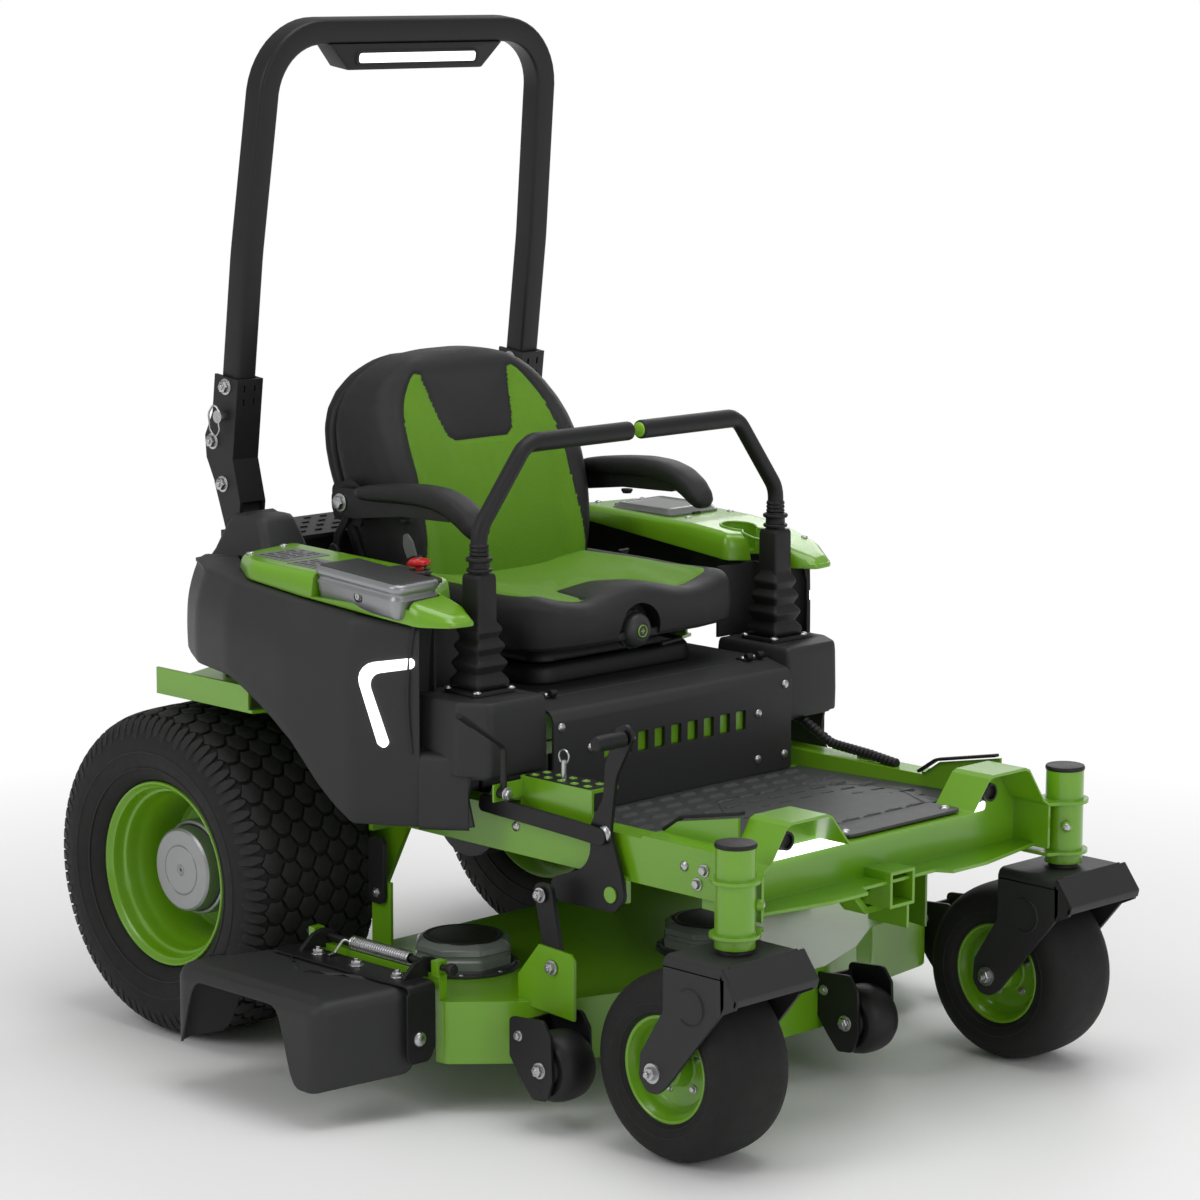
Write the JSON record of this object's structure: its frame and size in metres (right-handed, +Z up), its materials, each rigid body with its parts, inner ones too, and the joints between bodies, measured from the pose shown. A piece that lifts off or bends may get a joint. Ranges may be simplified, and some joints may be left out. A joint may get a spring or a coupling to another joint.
{
  "type": "zero turn riding mower",
  "caption": "Battery riding mower with padded seat, folding roll bar, paired steering levers, front casters, floating side-discharge cutting deck, powered rear wheels",
  "frame": {"origin": "on the ground, under the middle of the overall footprint", "axes": "+X is the machine's left side, -Y is its front (travel direction), +Z is up"},
  "size_m": [1.45, 1.666, 1.8316],
  "materials": {
    "green_paint": "gloss powder coat",
    "black_paint": "satin powder coat",
    "charcoal_plastic": "fine grain",
    "black_plastic": "fine grain",
    "soft_black": "matte",
    "tyre_black": "matte",
    "bare_metal": "zinc plate",
    "silver_plastic": "metallic",
    "red_plastic": "gloss",
    "clear_plastic": "clear",
    "light_lens": "diffusing",
    "seat_green": "woven vinyl",
    "seat_black": "grained vinyl over shell",
    "motor_grey": "cast, coated",
    "battery_grey": "moulded"
  },
  "bodies": {
    "chassis": {"main_frame": "green_paint", "led_strips": "light_lens", "side_cowl_r": "charcoal_plastic", "side_cowl_l": "charcoal_plastic", "knee_panel": "black_paint", "seat_plate": "black_paint", "foot_plate": "black_paint", "console_r": "green_paint", "console_l": "green_paint", "control_housing": "silver_plastic", "rops_posts": "black_paint", "frame_hardware": "bare_metal", "rear_cover": "black_plastic", "battery_pack": "battery_grey", "drive_motors": "motor_grey"},
    "roll_bar": {"rops_hoop": "black_paint", "rops_light": "black_plastic"},
    "stop": {"stop_button": "red_plastic"},
    "lid": {"storage_lid": "clear_plastic"},
    "rear_wheel_r": {"wheel_hub_r": "bare_metal", "rear_rim_r": "green_paint", "rear_tyre_r": "tyre_black"},
    "rear_wheel_l": {"wheel_hub_l": "bare_metal", "rear_rim_l": "green_paint", "rear_tyre_l": "tyre_black"},
    "caster_r": {"caster_fork_r": "black_paint", "caster_axle_r": "bare_metal"},
    "caster_l": {"caster_fork_l": "black_paint", "caster_axle_l": "bare_metal"},
    "front_wheel_r": {"caster_rim_r": "green_paint", "caster_tyre_r": "tyre_black"},
    "front_wheel_l": {"caster_rim_l": "green_paint", "caster_tyre_l": "tyre_black"},
    "lever_r": {"lever_base_r": "black_paint", "lever_boot_r": "soft_black"},
    "lever_l": {"lever_base_l": "black_paint", "lever_boot_l": "soft_black"},
    "grip_r": {"lever_tube_r": "soft_black"},
    "grip_l": {"lever_tube_l": "soft_black"},
    "suspension": {"seat_suspension": "black_paint"},
    "seat": {"seat_shell": "seat_black", "seat_cushion": "seat_green", "back_cushion": "seat_green"},
    "arm_r": {"armrest_r": "soft_black"},
    "arm_l": {"armrest_l": "soft_black"},
    "knob": {"seat_knob": "black_plastic"},
    "deck": {"deck_shell": "green_paint", "deck_motors": "motor_grey", "deck_brackets": "black_paint", "deck_hardware": "bare_metal"},
    "cutter_r": {"blade_r": "bare_metal"},
    "cutter_m": {"blade_m": "bare_metal"},
    "cutter_l": {"blade_l": "bare_metal"},
    "wheelet_r": {"roller_r": "soft_black"},
    "wheelet_m": {"roller_m": "soft_black"},
    "wheelet_l": {"roller_l": "soft_black"},
    "discharge": {"chute": "black_plastic"},
    "rocker": {"lift_rocker": "black_paint"},
    "link_bar": {"lift_bar": "black_paint"},
    "lock": {"lock_lever": "black_paint"}
  },
  "joints": [
    {"name": "rear_wheel_r_spin", "type": "hinge", "parent": "chassis", "child": "rear_wheel_r", "pos_m": [-0.4115, 0.515, 0.3], "axis": [1, 0, 0], "continuous": true},
    {"name": "rear_wheel_l_spin", "type": "hinge", "parent": "chassis", "child": "rear_wheel_l", "pos_m": [0.5335, 0.515, 0.3], "axis": [1, 0, 0], "continuous": true},
    {"name": "caster_r_swivel", "type": "hinge", "parent": "chassis", "child": "caster_r", "pos_m": [-0.362, -0.737, 0.45], "axis": [0, 0, 1], "continuous": true},
    {"name": "caster_l_swivel", "type": "hinge", "parent": "chassis", "child": "caster_l", "pos_m": [0.484, -0.737, 0.45], "axis": [0, 0, 1], "continuous": true},
    {"name": "front_wheel_r_spin", "type": "hinge", "parent": "caster_r", "child": "front_wheel_r", "pos_m": [-0.362, -0.647, 0.16], "axis": [1, 0, 0], "continuous": true},
    {"name": "front_wheel_l_spin", "type": "hinge", "parent": "caster_l", "child": "front_wheel_l", "pos_m": [0.484, -0.647, 0.16], "axis": [1, 0, 0], "continuous": true},
    {"name": "lever_r_drive", "type": "hinge", "parent": "chassis", "child": "lever_r", "pos_m": [-0.314, -0.085, 0.64], "axis": [1, 0, 0], "range_deg": [-8, 12]},
    {"name": "lever_l_drive", "type": "hinge", "parent": "chassis", "child": "lever_l", "pos_m": [0.436, -0.085, 0.64], "axis": [1, 0, 0], "range_deg": [-8, 12]},
    {"name": "grip_r_swing", "type": "hinge", "parent": "lever_r", "child": "grip_r", "pos_m": [-0.314, -0.085, 0.934], "axis": [0, -1, 0], "range_deg": [0, 35]},
    {"name": "grip_l_swing", "type": "hinge", "parent": "lever_l", "child": "grip_l", "pos_m": [0.436, -0.085, 0.934], "axis": [0, 1, 0], "range_deg": [0, 35]},
    {"name": "roll_bar_fold", "type": "hinge", "parent": "chassis", "child": "roll_bar", "pos_m": [0.061, 0.585, 1.11], "axis": [-1, 0, 0], "range_deg": [0, 100]},
    {"name": "stop_press", "type": "slide", "parent": "chassis", "child": "stop", "axis": [0, 0, -1], "range_m": [0, 0.004], "stiffness_N_per_m": 400},
    {"name": "lid_open", "type": "hinge", "parent": "chassis", "child": "lid", "pos_m": [0.501, 0.357, 0.8905], "axis": [-1, 0, 0], "range_deg": [0, 100]},
    {"name": "seat_suspend", "type": "slide", "parent": "chassis", "child": "suspension", "axis": [0, 0, -1], "range_m": [0, 0.035], "stiffness_N_per_m": 20000},
    {"name": "seat_adjust", "type": "slide", "parent": "suspension", "child": "seat", "axis": [0, -1, 0], "range_m": [-0.02, 0.06]},
    {"name": "arm_r_flip", "type": "hinge", "parent": "seat", "child": "arm_r", "pos_m": [-0.22, 0.379, 0.962], "axis": [-1, 0, 0], "range_deg": [0, 95]},
    {"name": "arm_l_flip", "type": "hinge", "parent": "seat", "child": "arm_l", "pos_m": [0.342, 0.379, 0.962], "axis": [-1, 0, 0], "range_deg": [0, 95]},
    {"name": "knob_turn", "type": "hinge", "parent": "seat", "child": "knob", "pos_m": [0.061, -0.101, 0.764], "axis": [0, -1, 0], "continuous": true},
    {"name": "deck_lift", "type": "slide", "parent": "chassis", "child": "deck", "axis": [0, 0, -1], "range_m": [0, 0.04]},
    {"name": "cutter_r_spin", "type": "hinge", "parent": "deck", "child": "cutter_r", "pos_m": [-0.317, -0.045, 0.12], "axis": [0, 0, 1], "continuous": true},
    {"name": "cutter_m_spin", "type": "hinge", "parent": "deck", "child": "cutter_m", "pos_m": [0.076, -0.27, 0.12], "axis": [0, 0, 1], "continuous": true},
    {"name": "cutter_l_spin", "type": "hinge", "parent": "deck", "child": "cutter_l", "pos_m": [0.469, -0.045, 0.12], "axis": [0, 0, 1], "continuous": true},
    {"name": "wheelet_r_spin", "type": "hinge", "parent": "deck", "child": "wheelet_r", "pos_m": [-0.417, -0.39, 0.11], "axis": [1, 0, 0], "continuous": true},
    {"name": "wheelet_m_spin", "type": "hinge", "parent": "deck", "child": "wheelet_m", "pos_m": [0.161, -0.557, 0.11], "axis": [1, 0, 0], "continuous": true},
    {"name": "wheelet_l_spin", "type": "hinge", "parent": "deck", "child": "wheelet_l", "pos_m": [0.673, -0.353, 0.11], "axis": [1, 0, 0], "continuous": true},
    {"name": "chute_lift", "type": "hinge", "parent": "deck", "child": "discharge", "pos_m": [-0.493, -0.016, 0.253], "axis": [0, 1, 0], "range_deg": [0, 60]},
    {"name": "rocker_turn", "type": "hinge", "parent": "chassis", "child": "rocker", "pos_m": [-0.338, -0.435, 0.398], "axis": [1, 0, 0], "range_deg": [-19, 0]},
    {"name": "link_bar_slide", "type": "slide", "parent": "chassis", "child": "link_bar", "axis": [0, 1, 0], "range_m": [0, 0.036]},
    {"name": "lock_turn", "type": "hinge", "parent": "chassis", "child": "lock", "pos_m": [-0.379, -0.205, 0.541], "axis": [0, -1, 0], "range_deg": [0, 18]}
  ],
  "couplings": [
    {"joint": "rocker_turn", "follows": "deck_lift", "rad_per_m": -8},
    {"joint": "link_bar_slide", "follows": "deck_lift", "ratio": 0.85}
  ]
}
